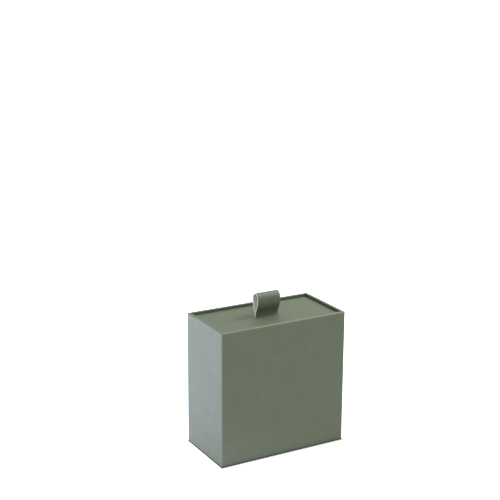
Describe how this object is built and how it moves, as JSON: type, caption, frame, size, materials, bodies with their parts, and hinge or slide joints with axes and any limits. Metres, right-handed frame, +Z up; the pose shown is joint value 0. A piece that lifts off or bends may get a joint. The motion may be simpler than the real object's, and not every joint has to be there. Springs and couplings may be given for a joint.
{
  "type": "sliding drawer gift box",
  "caption": "Rigid paper-covered gift box: an upright sleeve closed at its lower end, and a tray that slides up out of its mouth by a folded strap loop.",
  "frame": {"origin": "middle of the standing face, at the sleeve's closed end", "axes": "+Z up, the way the drawer leaves the sleeve; +X along the wide face; +Y from the front, where the tray is open, to the back"},
  "size_m": [0.12, 0.062, 0.1364],
  "materials": {
    "cover_paper": "matte",
    "greyboard": "matte",
    "corner_tape": "matte",
    "lining_paper": "matte",
    "strap": "matte"
  },
  "bodies": {
    "sleeve": {"sleeve_front_board": "greyboard", "sleeve_back_board": "greyboard", "sleeve_left_board": "greyboard", "sleeve_right_board": "greyboard", "sleeve_end_board": "greyboard", "sleeve_corner_tape": "corner_tape", "sleeve_cover": "cover_paper", "sleeve_end_sheet": "cover_paper", "sleeve_lining": "lining_paper", "sleeve_end_lining": "lining_paper"},
    "drawer": {"drawer_floor_board": "greyboard", "drawer_left_board": "greyboard", "drawer_right_board": "greyboard", "drawer_lower_board": "greyboard", "drawer_panel_board": "greyboard", "drawer_corner_tape": "corner_tape", "drawer_cover": "cover_paper", "drawer_wall_lining": "lining_paper", "drawer_floor_lining": "lining_paper", "strap_tails": "strap", "strap_patch": "lining_paper"},
    "loop": {"strap_loop": "strap"}
  },
  "joints": [
    {"name": "drawer_slide", "type": "slide", "parent": "sleeve", "child": "drawer", "axis": [0, 0, 1], "range_m": [0, 0.12]},
    {"name": "loop_lean", "type": "hinge", "parent": "drawer", "child": "loop", "pos_m": [0, 0, 0.1167], "axis": [1, 0, 0], "range_deg": [-60, 60], "stiffness_Nm_per_rad": 0.004}
  ]
}
